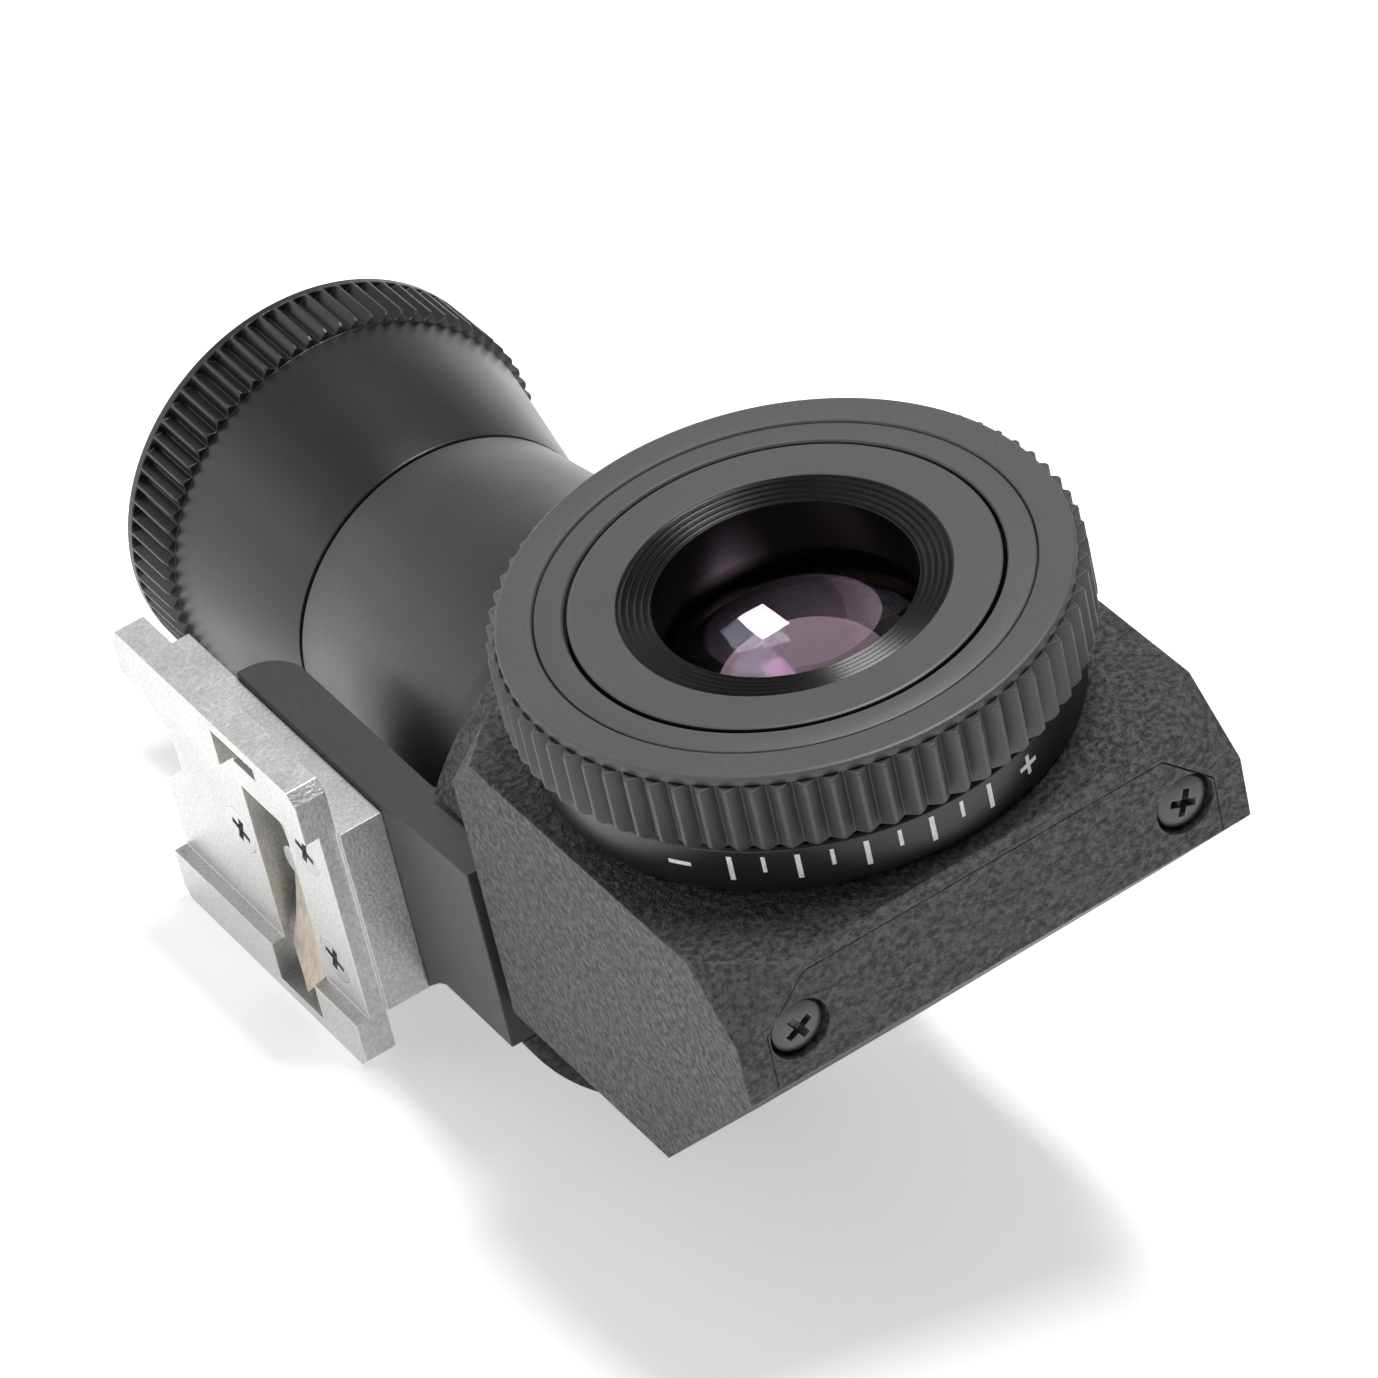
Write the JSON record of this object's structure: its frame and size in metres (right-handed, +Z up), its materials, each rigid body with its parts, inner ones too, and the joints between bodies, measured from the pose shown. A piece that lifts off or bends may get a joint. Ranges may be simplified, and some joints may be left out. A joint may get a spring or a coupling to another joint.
{
  "type": "angle viewfinder",
  "caption": "Right-angle viewfinder on an accessory-shoe foot: knurled eyepiece ring over a mirror housing that turns on its barrel, with a flared knurled objective.",
  "frame": {"origin": "centre of the shoe foot's outer face, level with the barrel axis", "axes": "+X from the foot's outer face in to the barrel, +Y forward along the barrel, +Z up along the eyepiece axis"},
  "size_m": [0.0339, 0.07, 0.0393],
  "materials": {
    "satin_silver": "fine-blasted satin silver",
    "bronze_leaf": "thin phosphor-bronze leaf",
    "bright_steel": "bright steel",
    "dark_steel": "blackened steel",
    "arm_black": "smooth matt black",
    "rough_black": "black wrinkle paint on die-cast alloy",
    "anodised_black": "satin black anodised",
    "ring_black": "matt black anodised",
    "front_silvered": "front-silvered glass",
    "foam_black": "thin adhesive pad",
    "optical_glass": "polished",
    "coated_glass": "polished with a purple and amber coating"
  },
  "bodies": {
    "bracket": {"shoe_foot": "satin_silver", "foot_spring": "bronze_leaf", "spring_rivet": "bright_steel", "foot_screws": "bright_steel", "bracket_arm": "arm_black", "collar_ring": "rough_black", "arm_screws": "dark_steel", "thrust_washer": "bright_steel", "detent_ball": "bright_steel", "detent_spring": "bright_steel", "detent_screw": "dark_steel"},
    "head": {"mirror_housing": "rough_black", "mirror_cover": "rough_black", "cover_screws": "dark_steel", "mirror": "front_silvered", "mirror_pad": "foam_black", "stop_pin": "dark_steel", "barrel_tube": "anodised_black", "tube_lock_ring": "anodised_black", "field_stop": "anodised_black", "relay_lens": "optical_glass", "relay_lens_ring": "anodised_black", "sleeve_retainer": "dark_steel", "eyepiece_neck": "anodised_black", "snap_ring": "dark_steel"},
    "dioptre_ring": {"dioptre_ring": "ring_black"},
    "eyepiece_cell": {"eye_cell": "ring_black", "eye_lens": "coated_glass", "lens_spacer": "anodised_black", "inner_lens": "optical_glass", "lens_retainer": "anodised_black", "eye_key_pin": "bright_steel"},
    "objective_sleeve": {"objective_sleeve": "anodised_black"},
    "objective_cell": {"objective_cell": "anodised_black", "front_lens": "coated_glass", "front_lens_ring": "anodised_black", "objective_key_pin": "bright_steel"}
  },
  "joints": [
    {"name": "head_turn", "type": "hinge", "parent": "bracket", "child": "head", "pos_m": [0.0191, 0, 0], "axis": [0, 1, 0], "range_deg": [0, 180]},
    {"name": "dioptre_turn", "type": "hinge", "parent": "head", "child": "dioptre_ring", "pos_m": [0.0191, -0.0306, 0.022], "axis": [0, 0, 1], "range_deg": [-120, 120]},
    {"name": "eyepiece_focus", "type": "slide", "parent": "head", "child": "eyepiece_cell", "axis": [0, 0, 1], "range_m": [-0.001, 0.001]},
    {"name": "objective_turn", "type": "hinge", "parent": "head", "child": "objective_sleeve", "pos_m": [0.0191, 0.017, 0], "axis": [0, 1, 0], "range_deg": [-90, 90]},
    {"name": "objective_focus", "type": "slide", "parent": "head", "child": "objective_cell", "axis": [0, 1, 0], "range_m": [-0.0006, 0.0006]}
  ],
  "couplings": [
    {"joint": "eyepiece_focus", "follows": "dioptre_turn", "m_per_rad": 0.000477},
    {"joint": "objective_focus", "follows": "objective_turn", "m_per_rad": 0.00038}
  ]
}
